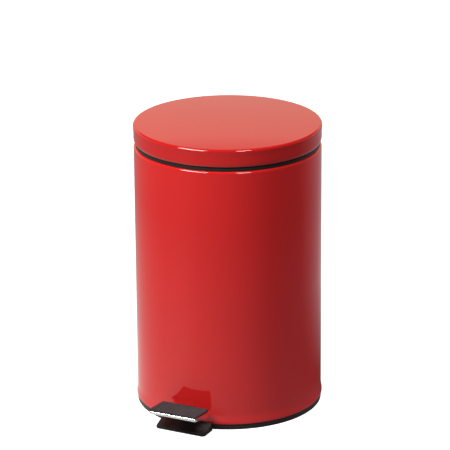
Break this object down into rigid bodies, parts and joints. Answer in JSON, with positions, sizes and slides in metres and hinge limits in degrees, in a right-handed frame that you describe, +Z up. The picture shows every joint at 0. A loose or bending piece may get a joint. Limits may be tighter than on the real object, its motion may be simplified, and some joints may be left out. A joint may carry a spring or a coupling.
{
  "type": "step-on waste can",
  "caption": "Round painted steel waste can on a base ring, with a foot pedal, push rod, hinged lid and lift-out bucket.",
  "frame": {"origin": "centre of the base ring's underside, on the can's axis at floor level", "axes": "+Z up along the can's axis, -Y towards the foot pedal, +Y towards the lid's hinge, +X to the right of a person who stands in front of the pedal and faces the can"},
  "size_m": [0.2951, 0.3617, 0.458],
  "materials": {
    "red_paint": "gloss",
    "black_plastic": "satin",
    "chrome": "polished",
    "rubber": "matte",
    "zinc_steel": "satin",
    "bright_steel": "polished",
    "bucket_plastic": "satin",
    "bronze": "satin"
  },
  "bodies": {
    "can": {"body_shell": "red_paint", "floor_pan": "zinc_steel", "base_ring": "black_plastic", "stabiliser_foot": "black_plastic", "foot_screws": "bright_steel", "rim_ring": "black_plastic", "lid_buffers": "rubber", "hinge_bracket": "zinc_steel", "hinge_bracket_rivets": "bright_steel", "hinge_pin": "bright_steel", "hinge_pin_clips": "bright_steel", "pivot_bracket": "zinc_steel", "pivot_bracket_rivets": "bright_steel", "lever_pin": "bright_steel", "lever_pin_clips": "bright_steel", "lever_stop": "rubber", "rod_guide": "black_plastic", "rod_guide_rivet": "bright_steel", "inner_bucket": "bucket_plastic"},
    "lid": {"lid_shell": "red_paint", "hinge_leaf": "zinc_steel", "hinge_leaf_rivets": "bright_steel"},
    "push_rod": {"push_rod": "bright_steel", "rod_foot": "black_plastic"},
    "pedal": {"pedal_lever": "zinc_steel", "lever_bush": "bronze", "pedal_plate": "chrome", "pedal_rivets": "bright_steel", "pedal_pad": "rubber"},
    "bail": {"bucket_bail": "bright_steel", "bail_grip": "black_plastic"}
  },
  "joints": [
    {"name": "lid_hinge", "type": "hinge", "parent": "can", "child": "lid", "pos_m": [0, 0.156, 0.437], "axis": [-1, 0, 0], "range_deg": [0, 75]},
    {"name": "rod_pivot", "type": "hinge", "parent": "lid", "child": "push_rod", "pos_m": [0.007, 0.13923, 0.42413], "axis": [1, 0, 0], "range_deg": [0, 75]},
    {"name": "pedal_pivot", "type": "hinge", "parent": "can", "child": "pedal", "pos_m": [0, -0.058, 0.0185], "axis": [1, 0, 0], "range_deg": [0, 7.5]},
    {"name": "bail_swing", "type": "hinge", "parent": "can", "child": "bail", "pos_m": [0, 0, 0.417], "axis": [-1, 0, 0], "range_deg": [0, 12]}
  ],
  "couplings": [
    {"joint": "rod_pivot", "follows": "lid_hinge", "ratio": 1},
    {"joint": "pedal_pivot", "follows": "lid_hinge", "ratio": 0.1}
  ]
}
